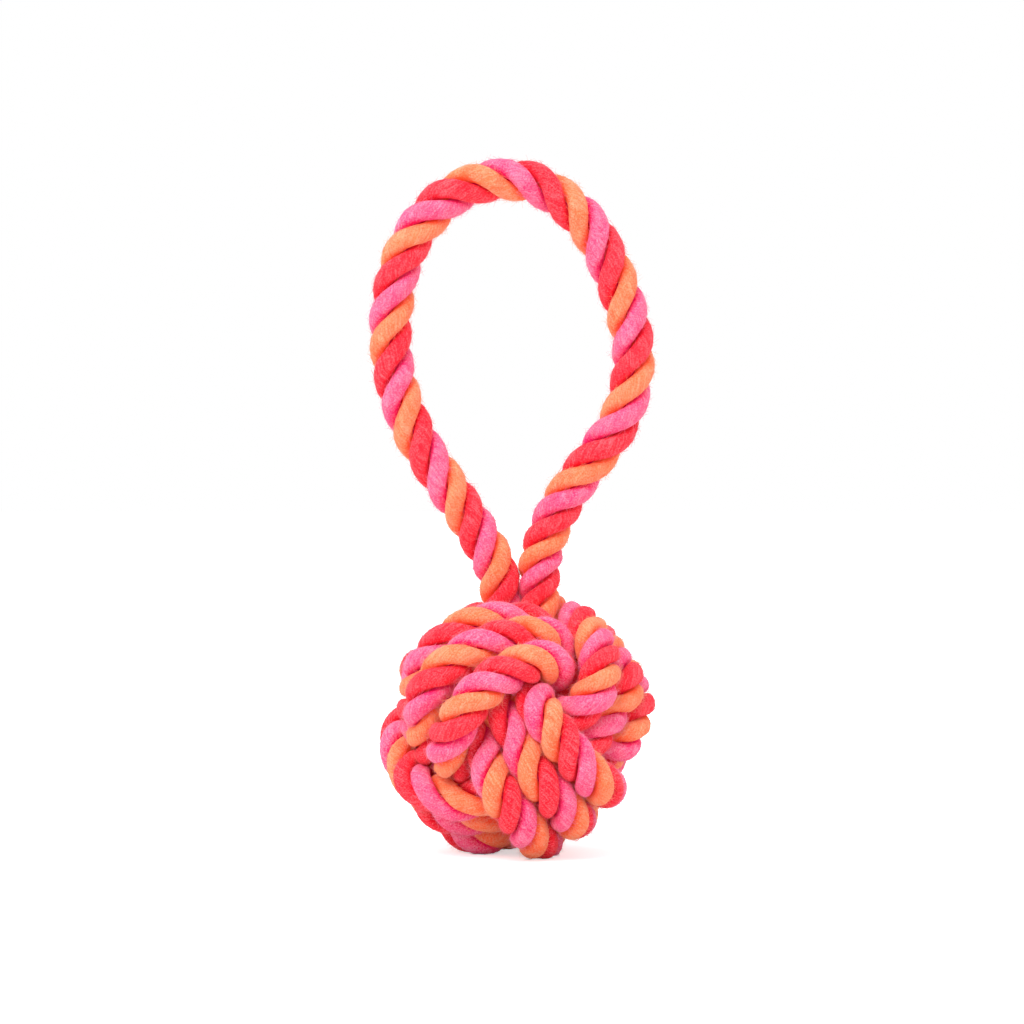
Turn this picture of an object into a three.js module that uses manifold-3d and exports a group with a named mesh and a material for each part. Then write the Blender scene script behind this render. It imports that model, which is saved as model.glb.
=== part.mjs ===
// A rope dog toy. One soft three-strand rope is tied into a ball knot, a monkey's fist of three by
// three turns round a core, and the rest of the rope stands above the ball as a hand loop.
// Millimetres, +Z up, +X to the right, and -Y towards whoever looks at the toy.
import * as THREE from 'three';
import { mergeVertices } from 'three/addons/utils/BufferGeometryUtils.js';
import Module from 'manifold-3d';

const wasm = await Module();
wasm.setup();

// Rope and core. In the ball the soft rope is pressed to a share of its own diameter.
const ropeDiameter = 12;
const pressedShare = 0.875;
const turnGap = 0.9;
const coreDiameter = 34;
const coreDetail = 4;
const seatGap = 0.3;

// The knot: three bands of turns, each square to the other two
const turnsInBand = 3;
const stepsInTurn = 24;
const sidesOfTurn = 6;
const outlinePower = 7;
const knotSpin = THREE.MathUtils.degToRad(25);
const standShare = 1.05;
const footShare = 0.1;

// The paths of the turns that show from the front: across to the right and up from the ball's
// middle, as shares of the outer reach. A band has three passes over its own face of the ball, in
// the order that they are laid, and three over the far side, of which the last shows.
const leftFaceShares = [
  [[0.21, 0.92], [-0.01, 0.96], [-0.33, 0.94], [-0.51, 0.88], [-0.69, 0.75], [-0.83, 0.61],
    [-0.91, 0.46], [-0.92, 0.3]],
  [[0.45, 0.61], [0.38, 0.73], [0.21, 0.84], [0.03, 0.87], [-0.24, 0.8], [-0.51, 0.68],
    [-0.69, 0.48], [-0.8, 0.22], [-0.82, -0.03]],
  [[0.46, 0.43], [0.4, 0.55], [0.27, 0.6], [0.06, 0.57], [-0.23, 0.47], [-0.42, 0.25],
    [-0.54, 0.05], [-0.6, -0.16]],
];
const rightFaceShares = [
  [[1.04, 0.32], [1.06, 0.18], [1.01, 0], [0.9, -0.2]],
  [[0.87, 0.63], [0.94, 0.48], [0.9, 0.29], [0.81, 0.07], [0.72, -0.11]],
  [[0.52, 0.97], [0.63, 0.94], [0.73, 0.85], [0.78, 0.71], [0.74, 0.55], [0.65, 0.36], [0.6, 0.22]],
];
const lowFaceShares = [
  [[-0.41, -0.09], [-0.31, -0.24], [-0.19, -0.46], [-0.02, -0.69], [0.13, -0.91], [0.24, -1.04]],
  [[-0.19, 0.08], [-0.04, -0.04], [0.13, -0.31], [0.32, -0.54], [0.48, -0.75], [0.62, -0.84]],
  [[0.13, 0.19], [0.3, 0.05], [0.49, -0.18], [0.67, -0.37], [0.79, -0.55]],
];
const farSideShares = [[-1.04, 0.04], [-1.04, -0.2], [-0.96, -0.39], [-0.78, -0.53], [-0.56, -0.57]];

// The hand loop
const loopSides = 10;
const loopSteps = 44;
const neckLength = 12;
const neckSteps = 3;
// The loop's middle line as it stands: how far to the right, and how far above the middle line of
// the ball's top turns. It goes up the right leg, over the top, and down the left leg.
const loopRoute = [
  [8.2, 7.3], [7.8, 12.8], [8.6, 19.3], [11.4, 27.9], [17, 37.9], [24.6, 47.9],
  [30.7, 56.5], [34.4, 64.9], [36.1, 73.9], [36.2, 81.9], [34.7, 90.4], [31.9, 99.4],
  [28.2, 108.9], [22.2, 119.3], [14.8, 126.4], [5.8, 131.9], [-4.6, 133], [-14.8, 130.9],
  [-23.8, 124.9], [-30.5, 117.1], [-34.9, 107.9], [-37.3, 97.9], [-38.4, 87.4], [-37.8, 76.9],
  [-35.6, 66.9], [-31.9, 56.9], [-26.6, 47.4], [-20.2, 37.9], [-14.2, 28.9], [-9.2, 19.7],
  [-6.9, 13.2], [-6.2, 7.3],
];

// How the turns are drawn tight. The rope is stiff and is steered for the first share of the rounds.
const tightenRounds = 500;
const steeredShare = 0.85;
const easedShare = 0.1;
const respaceEvery = 20;
const beadsInStep = 3;
const beadsInMeasure = 12;
const slackShare = 0.02;
const stiffShare = 0.05;
const steerShare = 0.1;
const steeredTurnShare = 0.25;
const pullShare = 0.002;
const freeRunShare = 1.7;

// Materials
const ropeRed = new THREE.MeshStandardMaterial({ color: 0xe8384f, roughness: 0.95, metalness: 0 });
const ropePink = new THREE.MeshStandardMaterial({ color: 0xf5679b, roughness: 0.95, metalness: 0 });
const ropeOrange = new THREE.MeshStandardMaterial({ color: 0xf48a5c, roughness: 0.95, metalness: 0 });
const coreRubber = new THREE.MeshStandardMaterial({ color: 0x8a8178, roughness: 0.8, metalness: 0 });

// The ball stands on one corner of its three bands, so the three faces that lean up and the three
// that lean down all make this angle with the vertical.
const faceLean = Math.acos(1 / Math.sqrt(3));

function faceAxis(bearing, up) {
  const level = Math.sin(faceLean);
  return new THREE.Vector3(
    Math.sin(bearing) * level,
    -Math.cos(bearing) * level,
    up * Math.cos(faceLean),
  );
}

const leftFace = faceAxis(knotSpin - Math.PI / 3, 1);
const rightFace = faceAxis(knotSpin + Math.PI / 3, 1);
const lowFace = faceAxis(knotSpin, -1);

const turnDiameter = ropeDiameter * pressedShare;
const turnPitch = turnDiameter + turnGap;

// A band lies on top of the band before it, so it reaches one pitch further out that way.
const innerReach = (coreDiameter + turnPitch) / 2;
const outerReach = innerReach + turnPitch;
const floorHeight = -outerReach * standShare;

function smooth(x) {
  const t = Math.min(Math.max(x, 0), 1);
  return t * t * (3 - 2 * t);
}

// One band before it is drawn tight. It starts at a corner, goes round as a rounded rectangle, and
// steps sideways by one pitch each time that it dives under the same side of the next band.
function bandRoute(outward, inward, sideways) {
  const corner = Math.atan2(innerReach, outerReach - turnPitch / 2);
  const dive = Math.PI - 2 * corner;
  const sweep = turnsInBand * 2 * Math.PI + dive;
  const count = Math.round((sweep / (2 * Math.PI)) * stepsInTurn);
  const firstPlace = -(turnsInBand + 1) / 2;
  const route = [];
  for (let i = 0; i < count; i += 1) {
    const turned = (sweep * (i + 0.5)) / count;
    const whole = Math.floor(turned / (2 * Math.PI));
    const place = firstPlace + whole + smooth((turned - whole * 2 * Math.PI) / dive);
    const angle = corner + turned;
    const across = Math.abs(Math.cos(angle)) / outerReach;
    const along = Math.abs(Math.sin(angle)) / innerReach;
    const radius = (across ** outlinePower + along ** outlinePower) ** (-1 / outlinePower);
    const point = new THREE.Vector3()
      .addScaledVector(outward, radius * Math.cos(angle))
      .addScaledVector(inward, radius * Math.sin(angle))
      .addScaledVector(sideways, place * turnPitch);
    route.push(point);
  }
  return route;
}

// Moves the points of a line to even distances along it, but for the straight run at each end.
function respace(points) {
  const line = new THREE.CurvePath();
  for (let i = 2; i < points.length - 1; i += 1) {
    line.add(new THREE.LineCurve3(points[i - 1], points[i]));
  }
  const between = line.getSpacedPoints(points.length - 3);
  return [points[0], ...between, points[points.length - 1]];
}

// Calls back for each two places of the line that lie closer than a distance, other than
// neighbours along it. The places are beads, so many in each step of the line.
function eachTouch(points, distance, beadsPerStep, callback) {
  const stepLength = points[1].distanceTo(points[2]);
  const apart = Math.ceil((freeRunShare * distance * beadsPerStep) / stepLength);
  const beads = [];
  for (let i = 0; i < points.length - 1; i += 1) {
    for (let k = 0; k < beadsPerStep; k += 1) {
      beads.push(new THREE.Vector3().lerpVectors(points[i], points[i + 1], k / beadsPerStep));
    }
  }
  for (let i = 0; i < beads.length; i += 1) {
    const a = beads[i];
    for (let j = i + apart; j < beads.length; j += 1) {
      const b = beads[j];
      if (Math.abs(a.z - b.z) < distance && a.distanceToSquared(b) < distance * distance) {
        callback(i, j, a, b);
      }
    }
  }
}

// The passes that are steered. Each has the place that its middle starts from, and its path.
function steeredPasses() {
  const passes = [];
  const addPass = (outward, sideways, turn, shares) => {
    const start = outward.clone().multiplyScalar(outerReach);
    start.addScaledVector(sideways, (turn - (turnsInBand - 1) / 2) * turnPitch);
    const route = shares.map(([across, up]) => new THREE.Vector3(across, 0, up).multiplyScalar(outerReach));
    const path = route.slice(1).map((point, i) => new THREE.Line3(route[i], point));
    passes.push({ start, path });
  };
  leftFaceShares.forEach((shares, turn) => addPass(leftFace, lowFace, turn, shares));
  rightFaceShares.forEach((shares, turn) => addPass(rightFace, leftFace, turn, shares));
  lowFaceShares.forEach((shares, turn) => addPass(lowFace, rightFace, turn, shares));
  addPass(rightFace.clone().negate(), leftFace, turnsInBand - 1, farSideShares);
  return passes;
}

// Moves a point towards the nearest place of a path, as seen from the front, unless that place is
// past an end of the path.
function steer(point, path) {
  const seen = new THREE.Vector3(point.x, 0, point.z);
  const nearest = new THREE.Vector3();
  const place = new THREE.Vector3();
  let least = Infinity;
  let past = false;
  path.forEach((line, i) => {
    const share = line.closestPointToPointParameter(seen, false);
    line.at(THREE.MathUtils.clamp(share, 0, 1), place);
    if (place.distanceTo(seen) < least) {
      least = place.distanceTo(seen);
      nearest.copy(place);
      past = (i === 0 && share < 0) || (i === path.length - 1 && share > 1);
    }
  });
  if (!past) {
    point.addScaledVector(nearest.sub(seen), steerShare);
  }
}

// Draws the knot tight. In each round every point moves a little towards its neighbours, a stiff
// rope's bends even out, the shown turns move towards their paths, the turns that lie closer than
// the pitch push each other apart, and the core and the floor push back.
function drawTight(start) {
  let points = respace(start);
  const nearestTo = (place) => {
    const distances = points.map((point) => point.distanceToSquared(place));
    return distances.indexOf(Math.min(...distances));
  };
  const passes = steeredPasses().map(({ start: middle, path }) => ({ middle: nearestTo(middle), path }));
  const stepsSteered = Math.round(stepsInTurn * steeredTurnShare);
  const coreReach = (coreDiameter + turnDiameter) / 2 + seatGap;
  for (let round = 0; round < tightenRounds; round += 1) {
    const left = 1 - round / tightenRounds;
    const steered = left > 1 - steeredShare;
    const slack = slackShare * left;
    const stiff = stiffShare * THREE.MathUtils.clamp((left - 1 + steeredShare) / easedShare, 0, 1);
    const pull = pullShare * turnPitch * left;
    const next = points.map((point, i) => {
      const moved = point.clone();
      if (i > 0 && i < points.length - 1) {
        const bend = new THREE.Vector3().addVectors(points[i - 1], points[i + 1]);
        bend.addScaledVector(point, -2);
        moved.addScaledVector(bend, slack / 2);
        if (i > 1 && i < points.length - 2) {
          const wider = new THREE.Vector3().addVectors(points[i - 2], points[i + 2]);
          wider.addScaledVector(point, -2);
          moved.addScaledVector(wider.addScaledVector(bend, -4), -stiff);
        }
      }
      return moved.setLength(moved.length() - pull);
    });
    if (steered) {
      for (const { middle, path } of passes) {
        for (let i = middle - stepsSteered; i <= middle + stepsSteered; i += 1) {
          steer(next[i], path);
        }
      }
    }
    const pushes = next.map(() => new THREE.Vector3());
    const shares = next.map(() => 0);
    const push = (bead, by) => {
      const i = Math.floor(bead / beadsInStep);
      const along = bead / beadsInStep - i;
      pushes[i].addScaledVector(by, 1 - along);
      pushes[i + 1].addScaledVector(by, along);
      shares[i] += 1 - along;
      shares[i + 1] += along;
    };
    eachTouch(next, turnPitch, beadsInStep, (i, j, a, b) => {
      const apart = new THREE.Vector3().subVectors(a, b);
      apart.setLength((turnPitch - apart.length()) / 2);
      push(i, apart);
      push(j, apart.negate());
    });
    points = next.map((point, i) => {
      if (i < 2 || i >= next.length - 2) {
        return points[i];
      }
      const moved = point.addScaledVector(pushes[i], 1 / Math.max(shares[i], 1));
      moved.setLength(Math.max(moved.length(), coreReach));
      moved.z = Math.max(moved.z, floorHeight);
      return moved;
    });
    if (round % respaceEvery === respaceEvery - 1) {
      points = respace(points);
    }
  }
  return points;
}

// The hand loop's middle line, and a length of the rope along it.
const loopLine = new THREE.CatmullRomCurve3(
  loopRoute.map(([across, up]) => new THREE.Vector3(across, 0, outerReach + up)),
);
const loopLength = loopLine.getLength();

class RopeLength extends THREE.Curve {
  constructor(from, to) {
    super();
    this.from = from / loopLength;
    this.to = to / loopLength;
  }

  getPoint(t, target = new THREE.Vector3()) {
    return loopLine.getPointAt(THREE.MathUtils.lerp(this.from, this.to, t), target);
  }
}

function looseRope(from, to, steps) {
  const section = new THREE.Shape();
  for (let k = 0; k < loopSides; k += 1) {
    const turn = (2 * Math.PI * k) / loopSides;
    const x = (ropeDiameter / 2) * Math.cos(turn);
    const y = (ropeDiameter / 2) * Math.sin(turn);
    if (k === 0) {
      section.moveTo(x, y);
    } else {
      section.lineTo(x, y);
    }
  }
  return new THREE.ExtrudeGeometry(section, {
    steps,
    bevelEnabled: false,
    extrudePath: new RopeLength(from, to),
  });
}

// The knot's whole middle line: straight down from the right leg, three bands of turns, and
// straight up to the left leg.
function knotLine() {
  const straightRun = (at, outward) => {
    const top = loopLine.getPointAt(at);
    const down = loopLine.getTangentAt(at).multiplyScalar(outward);
    return [seatGap, seatGap + turnDiameter].map((depth) => top.clone().addScaledVector(down, depth));
  };
  return drawTight([
    ...straightRun(0, -1),
    ...bandRoute(leftFace, rightFace, lowFace),
    ...bandRoute(rightFace, lowFace, leftFace),
    ...bandRoute(lowFace, leftFace, rightFace),
    ...straightRun(1, 1).reverse(),
  ]);
}

// One closed tube round a line: a ring of points at each point of the line, turned as little as it
// can be from the ring before, and a flat face at each end. The straight run at an end stays a
// true prism.
function woundTube(line) {
  const last = line.length - 1;
  const positions = [];
  const faces = [];
  const across = new THREE.Vector3(1, 0, 0);
  const along = new THREE.Vector3();
  const square = new THREE.Vector3();
  line.forEach((point, i) => {
    const before = i === last ? last - 1 : Math.max(i - 1, 0);
    const after = i === 1 ? 1 : Math.min(i + 1, last);
    along.subVectors(line[after], line[i === last - 1 ? i : before]).normalize();
    across.addScaledVector(along, -across.dot(along)).normalize();
    square.crossVectors(along, across);
    for (let k = 0; k < sidesOfTurn; k += 1) {
      const turn = (2 * Math.PI * k) / sidesOfTurn;
      const place = point.clone();
      place.addScaledVector(across, (turnDiameter / 2) * Math.cos(turn));
      place.addScaledVector(square, (turnDiameter / 2) * Math.sin(turn));
      positions.push(place.x, place.y, place.z);
    }
  });
  for (let k = 0; k < sidesOfTurn; k += 1) {
    const next = (k + 1) % sidesOfTurn;
    for (let i = 0; i < last; i += 1) {
      const ring = i * sidesOfTurn;
      const nextRing = ring + sidesOfTurn;
      faces.push(ring + k, ring + next, nextRing + next);
      faces.push(ring + k, nextRing + next, nextRing + k);
    }
    if (k > 0 && next > 0) {
      const ring = last * sidesOfTurn;
      faces.push(0, next, k);
      faces.push(ring, ring + k, ring + next);
    }
  }
  const geometry = new THREE.BufferGeometry();
  geometry.setAttribute('position', new THREE.Float32BufferAttribute(positions, 3));
  geometry.setIndex(faces);
  return geometry;
}

function toSolid(geometry) {
  const bare = geometry.clone();
  bare.deleteAttribute('normal');
  bare.deleteAttribute('uv');
  const merged = mergeVertices(bare);
  return new wasm.Manifold(new wasm.Mesh({
    numProp: 3,
    vertProperties: new Float32Array(merged.attributes.position.array),
    triVerts: new Uint32Array(merged.index.array),
  }));
}

function toGeometry(solid) {
  const mesh = solid.getMesh();
  const geometry = new THREE.BufferGeometry();
  geometry.setAttribute('position', new THREE.BufferAttribute(mesh.vertProperties, 3));
  geometry.setIndex(new THREE.BufferAttribute(mesh.triVerts, 1));
  geometry.computeVertexNormals();
  return geometry;
}

// The whole knot as one unbroken tube, cut flat where it stands.
const footHeight = floorHeight - turnDiameter / 2 + turnDiameter * footShare;

function ballWinding() {
  const line = knotLine();
  let leastGap = turnGap;
  eachTouch(line, turnPitch, beadsInMeasure, (i, j, a, b) => {
    leastGap = Math.min(leastGap, a.distanceTo(b) - turnDiameter);
  });
  console.log(`least gap of the ball's turns to each other: ${leastGap.toFixed(2)} mm`);
  const width = 4 * outerReach;
  const ground = new THREE.BoxGeometry(width, width, turnDiameter);
  ground.translate(0, 0, footHeight - turnDiameter / 2);
  return toGeometry(toSolid(woundTube(line)).subtract(toSolid(ground)));
}

function coreBall() {
  return new THREE.IcosahedronGeometry(coreDiameter / 2, coreDetail);
}

const toy = new THREE.Group();

function addPiece(name, geometry, material) {
  const piece = new THREE.Mesh(geometry, material);
  piece.name = name;
  toy.add(piece);
}

const neckEnd = neckLength + seatGap;
addPiece('core_ball', coreBall(), coreRubber);
addPiece('ball_winding', ballWinding(), ropePink);
addPiece('neck_right', looseRope(0, neckLength, neckSteps), ropeOrange);
addPiece('neck_left', looseRope(loopLength - neckLength, loopLength, neckSteps), ropeOrange);
addPiece('hand_loop', looseRope(neckEnd, loopLength - neckEnd, loopSteps), ropeRed);

// The toy stands on the plane z = 0, with the middle of its outline over the origin.
const extent = new THREE.Box3().setFromObject(toy);
const middle = extent.getCenter(new THREE.Vector3());
toy.position.set(-middle.x, -middle.y, -extent.min.z);

export default toy;
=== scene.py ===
# %% [markdown]
# # A rope dog toy
# One length of soft cotton rope is tied into a round ball, a monkey's fist knot, and the same rope
# stands above the ball as a hand loop. The rope has three strands, pink, red and orange, and they
# are the only parts that show. The lesson works out the rope's middle line first, then lays three
# strands round it, presses them where turns touch, and ends with cotton, stray fibres and light.

# %% The frame and the tools
import math
import random

import bmesh
import bpy
import numpy as np
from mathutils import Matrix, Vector, noise


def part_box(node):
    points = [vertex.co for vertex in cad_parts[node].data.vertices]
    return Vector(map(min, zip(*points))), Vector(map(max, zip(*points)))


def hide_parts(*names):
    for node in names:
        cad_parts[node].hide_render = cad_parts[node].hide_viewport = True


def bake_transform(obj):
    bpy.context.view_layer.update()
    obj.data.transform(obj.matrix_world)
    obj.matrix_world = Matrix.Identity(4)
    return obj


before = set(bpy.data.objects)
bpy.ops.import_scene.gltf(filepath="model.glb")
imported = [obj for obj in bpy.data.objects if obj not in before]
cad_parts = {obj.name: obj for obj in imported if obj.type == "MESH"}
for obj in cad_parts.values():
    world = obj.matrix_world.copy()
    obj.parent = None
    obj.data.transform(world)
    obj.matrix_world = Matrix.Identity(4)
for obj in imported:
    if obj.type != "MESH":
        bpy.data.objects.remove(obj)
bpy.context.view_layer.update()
MM = 0.001
print("nodes:", sorted(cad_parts))

# %% [markdown]
# ## The camera
# The photograph was taken from far away and from just above the toy's middle, so its sides hardly
# narrow with distance. A long lens does that. The camera stands far back along -Y, a little raised,
# and looks at the point that lies in the middle of the picture.

# %% The camera
core_low, core_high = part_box("core_ball")
ball_middle = (core_low + core_high) / 2
picture_width = 315 * MM
picture_middle = ball_middle + Vector((-1 * MM, 0, 65 * MM))
camera_rise = math.radians(2)
lens = 200
sensor = 36
camera_data = bpy.data.cameras.new("camera")
camera_data.lens = lens
camera_data.sensor_width = sensor
camera = bpy.data.objects.new("camera", camera_data)
bpy.context.scene.collection.objects.link(camera)
away = Vector((0, -math.cos(camera_rise), math.sin(camera_rise)))
camera.location = picture_middle + away * (picture_width * lens / sensor)
camera.rotation_euler = (-away).to_track_quat("-Z", "Y").to_euler()
camera_data.clip_start = 10 * MM
camera_data.clip_end = 100
bpy.context.scene.camera = camera
print("camera stands", round((camera.location - picture_middle).length, 2), "m away")

# %% [markdown]
# ## Rope and knot sizes
# These are the sizes of the real rope and the way the knot is tied: three turns, then three more
# round them the other way, then three round those. Each set of three turns is a band, and each band
# faces one side of the ball. The ball stands on a corner between three bands.

# %% Rope and knot sizes
ROPE = 12 * MM
PRESSED_SHARE = 0.875
TURN_GAP = 0.9 * MM
CORE = 34 * MM
SEAT_GAP = 0.3 * MM
TURNS_IN_BAND = 3
STEPS_IN_TURN = 24
OUTLINE_POWER = 7
KNOT_SPIN = math.radians(25)
TURN = ROPE * PRESSED_SHARE
PITCH = TURN + TURN_GAP
INNER_REACH = (CORE + PITCH) / 2
OUTER_REACH = INNER_REACH + PITCH
STAND_SHARE = 1.05
FOOT_SHARE = 0.1
CORE_REACH = (CORE + TURN) / 2 + SEAT_GAP
foot_plane = -OUTER_REACH * STAND_SHARE - TURN / 2 + TURN * FOOT_SHARE
FLOOR_RISE = 5.4 * MM
FLOOR_REST = foot_plane + FLOOR_RISE
print("ball reaches", round(OUTER_REACH / MM, 1), "mm to its outer middle line")

FACE_LEAN = math.acos(1 / math.sqrt(3))


def eased(share):
    """A share from 0 to 1 that starts and ends gently."""
    return share * share * (3 - 2 * share)


def face_axis(bearing, up):
    level = math.sin(FACE_LEAN)
    return np.array([math.sin(bearing) * level, -math.cos(bearing) * level, up * math.cos(FACE_LEAN)])


LEFT_FACE = face_axis(KNOT_SPIN - math.pi / 3, 1)
RIGHT_FACE = face_axis(KNOT_SPIN + math.pi / 3, 1)
LOW_FACE = face_axis(KNOT_SPIN, -1)

# %% [markdown]
# ## The hand loop's route
# The loop is held up by its own stiffness, so its route follows the photograph: across to the right,
# and up from the middle line of the ball's top turns. It is the same list of points that the solid
# model's loop has. It runs up the right leg, over the top and down the left leg.

# %% The hand loop's route
LOOP_ROUTE = np.array([
    (8.2, 7.3), (7.8, 12.8), (8.6, 19.3), (11.4, 27.9), (17, 37.9), (24.6, 47.9),
    (30.7, 56.5), (34.4, 64.9), (36.1, 73.9), (36.2, 81.9), (34.7, 90.4), (31.9, 99.4),
    (28.2, 108.9), (22.2, 119.3), (14.8, 126.4), (5.8, 131.9), (-4.6, 133), (-14.8, 130.9),
    (-23.8, 124.9), (-30.5, 117.1), (-34.9, 107.9), (-37.3, 97.9), (-38.4, 87.4), (-37.8, 76.9),
    (-35.6, 66.9), (-31.9, 56.9), (-26.6, 47.4), (-20.2, 37.9), (-14.2, 28.9), (-9.2, 19.7),
    (-6.9, 13.2), (-6.2, 7.3),
]) * MM
loop_points = np.stack([LOOP_ROUTE[:, 0], 0 * LOOP_ROUTE[:, 0], OUTER_REACH + LOOP_ROUTE[:, 1]], 1)


FINE_STEPS = 16


def smooth_line(points, step):
    """Points at even steps along a smooth curve through the given ones."""
    before = np.vstack([2 * points[:1] - points[1:2], points, 2 * points[-1:] - points[-2:-1]])
    fine = []
    for i in range(1, len(before) - 2):
        a, b, c, d = before[i - 1:i + 3]
        t = np.linspace(0, 1, FINE_STEPS, endpoint=False)[:, None]
        fine.append(0.5 * (2 * b + (c - a) * t + (2 * a - 5 * b + 4 * c - d) * t ** 2
                           + (3 * b - a - 3 * c + d) * t ** 3))
    fine.append(points[-1:])
    fine = np.vstack(fine)
    along = np.concatenate([[0], np.cumsum(np.linalg.norm(np.diff(fine, axis=0), axis=1))])
    places = np.linspace(0, along[-1], round(along[-1] / step) + 1)
    return np.stack([np.interp(places, along, fine[:, k]) for k in range(3)], 1)


loop_line = smooth_line(loop_points, MM)
print("hand loop:", len(loop_line), "mm of rope")

# %% [markdown]
# ## The turns before they are drawn tight
# A band starts at a corner of the ball and goes round as a rounded rectangle. Each time that it dives
# under the next band it steps sideways by one rope. Drawing real turns by hand is hopeless, so this
# loose form is only a start, and a small simulation pulls it tight.

# %% The turns before they are drawn tight


def band_route(outward, inward, sideways):
    corner = math.atan2(INNER_REACH, OUTER_REACH - PITCH / 2)
    dive = math.pi - 2 * corner
    sweep = TURNS_IN_BAND * 2 * math.pi + dive
    count = round(sweep / (2 * math.pi) * STEPS_IN_TURN)
    turned = sweep * (np.arange(count) + 0.5) / count
    whole = np.floor(turned / (2 * math.pi))
    stepped = np.clip((turned - whole * 2 * math.pi) / dive, 0, 1)
    place = -(TURNS_IN_BAND + 1) / 2 + whole + eased(stepped)
    angle = corner + turned
    across = np.abs(np.cos(angle)) / OUTER_REACH
    along = np.abs(np.sin(angle)) / INNER_REACH
    radius = (across ** OUTLINE_POWER + along ** OUTLINE_POWER) ** (-1 / OUTLINE_POWER)
    return (np.outer(radius * np.cos(angle), outward) + np.outer(radius * np.sin(angle), inward)
            + np.outer(place * PITCH, sideways))


def straight_run(top, down):
    down = down / np.linalg.norm(down)
    return [top + down * SEAT_GAP, top + down * (SEAT_GAP + TURN)]


right_run = straight_run(loop_line[0], loop_line[0] - loop_line[1])
left_run = straight_run(loop_line[-1], loop_line[-1] - loop_line[-2])
loose_knot = np.vstack([
    right_run,
    band_route(LEFT_FACE, RIGHT_FACE, LOW_FACE),
    band_route(RIGHT_FACE, LOW_FACE, LEFT_FACE),
    band_route(LOW_FACE, LEFT_FACE, RIGHT_FACE),
    left_run[::-1],
])
print("loose knot:", len(loose_knot), "points")

# %% [markdown]
# ## How the turns show from the front
# Every monkey's fist is pulled tight a little differently. These paths say where the turns of this
# one lie, as seen from the front: across and up from the ball's middle, as shares of its outer reach.

# %% How the turns show from the front
LEFT_FACE_SHARES = [
    [(0.21, 0.92), (-0.01, 0.96), (-0.33, 0.94), (-0.51, 0.88), (-0.69, 0.75), (-0.83, 0.61),
     (-0.91, 0.46), (-0.92, 0.3)],
    [(0.45, 0.61), (0.38, 0.73), (0.21, 0.84), (0.03, 0.87), (-0.24, 0.8), (-0.51, 0.68),
     (-0.69, 0.48), (-0.8, 0.22), (-0.82, -0.03)],
    [(0.46, 0.43), (0.4, 0.55), (0.27, 0.6), (0.06, 0.57), (-0.23, 0.47), (-0.42, 0.25),
     (-0.54, 0.05), (-0.6, -0.16)],
]
RIGHT_FACE_SHARES = [
    [(1.04, 0.32), (1.06, 0.18), (1.01, 0), (0.9, -0.2)],
    [(0.87, 0.63), (0.94, 0.48), (0.9, 0.29), (0.81, 0.07), (0.72, -0.11)],
    [(0.52, 0.97), (0.63, 0.94), (0.73, 0.85), (0.78, 0.71), (0.74, 0.55), (0.65, 0.36),
     (0.6, 0.22)],
]
LOW_FACE_SHARES = [
    [(-0.41, -0.09), (-0.31, -0.24), (-0.19, -0.46), (-0.02, -0.69), (0.13, -0.91), (0.24, -1.04)],
    [(-0.19, 0.08), (-0.04, -0.04), (0.13, -0.31), (0.32, -0.54), (0.48, -0.75), (0.62, -0.84)],
    [(0.13, 0.19), (0.3, 0.05), (0.49, -0.18), (0.67, -0.37), (0.79, -0.55)],
]
FAR_SIDE_SHARES = [(-1.04, 0.04), (-1.04, -0.2), (-0.96, -0.39), (-0.78, -0.53), (-0.56, -0.57)]


def steered_passes():
    passes = []
    for face, sideways, paths in (
        (LEFT_FACE, LOW_FACE, LEFT_FACE_SHARES),
        (RIGHT_FACE, LEFT_FACE, RIGHT_FACE_SHARES),
        (LOW_FACE, RIGHT_FACE, LOW_FACE_SHARES),
        (-RIGHT_FACE, LEFT_FACE, [None, None, FAR_SIDE_SHARES]),
    ):
        for turn, shares in enumerate(paths):
            if shares:
                start = face * OUTER_REACH + sideways * (turn - (TURNS_IN_BAND - 1) / 2) * PITCH
                passes.append((start, np.array(shares) * OUTER_REACH))
    return passes


# %% [markdown]
# ## Drawing the knot tight
# The rope is a chain of points. In each round every point moves a little towards its neighbours, a
# stiff rope's bends even out, the shown turns move towards their paths, turns that lie too close push
# each other apart, and the core and the floor push back. After some hundred rounds the turns lie
# snugly side by side, as when a real knot is worked tight by hand.

# %% Drawing the knot tight
ROUNDS = 500
STEERED_SHARE = 0.85
EASED_SHARE = 0.1
RESPACE_EVERY = 20
BEADS_IN_STEP = 3
SLACK_SHARE = 0.02
STIFF_SHARE = 0.05
STEER_SHARE = 0.1
STEPS_STEERED = 6
PULL_SHARE = 0.002
FREE_RUN_SHARE = 1.7


def respace(points):
    inner = points[1:-1]
    along = np.concatenate([[0], np.cumsum(np.linalg.norm(np.diff(inner, axis=0), axis=1))])
    places = np.linspace(0, along[-1], len(inner))
    even = np.stack([np.interp(places, along, inner[:, k]) for k in range(3)], 1)
    return np.vstack([points[:1], even, points[-1:]])


def steer(points, rows, path):
    """Moves some points towards the nearest place of a path, but not past its ends."""
    seen = points[rows][:, [0, 2]]
    start, step = path[:-1], np.diff(path, axis=0)
    share = ((seen[:, None] - start) * step).sum(2) / (step ** 2).sum(1)
    places = start + np.clip(share, 0, 1)[:, :, None] * step
    nearest = ((places - seen[:, None]) ** 2).sum(2).argmin(1)
    each = np.arange(len(rows))
    past = ((nearest == 0) & (share[each, nearest] < 0)) | (
        (nearest == len(start) - 1) & (share[each, nearest] > 1))
    move = (places[each, nearest] - seen) * STEER_SHARE
    move[past] = 0
    points[rows, 0] += move[:, 0]
    points[rows, 2] += move[:, 1]


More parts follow.
